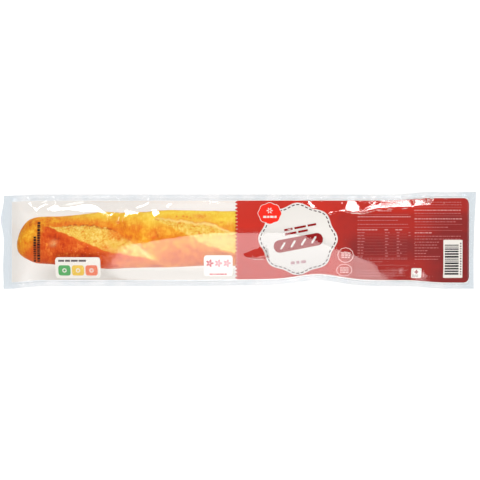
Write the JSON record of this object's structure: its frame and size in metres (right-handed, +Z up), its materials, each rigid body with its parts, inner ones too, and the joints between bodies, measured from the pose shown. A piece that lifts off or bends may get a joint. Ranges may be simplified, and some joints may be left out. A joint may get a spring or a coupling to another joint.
{
  "type": "packed baguette",
  "caption": "White baguette sealed in a long film pack with a formed trough, a flat welded rim and a printed lid film",
  "frame": {"origin": "middle of the flat underside that the pack rests on", "axes": "+X along the loaf towards the end under the red printed field, +Y across the pack towards its straighter long edge, +Z up out of the lid film"},
  "size_m": [0.57, 0.116, 0.0456],
  "materials": {
    "film": "clear glossy film, lightly creased, over a golden crust, with a red printed field on one half",
    "crust": "baked bread crust, golden orange, satin, with pale yellow scores",
    "print": "red, white and small coloured print on the inside of the lid film"
  },
  "bodies": {
    "root": {"pack": "film"}
  },
  "joints": []
}
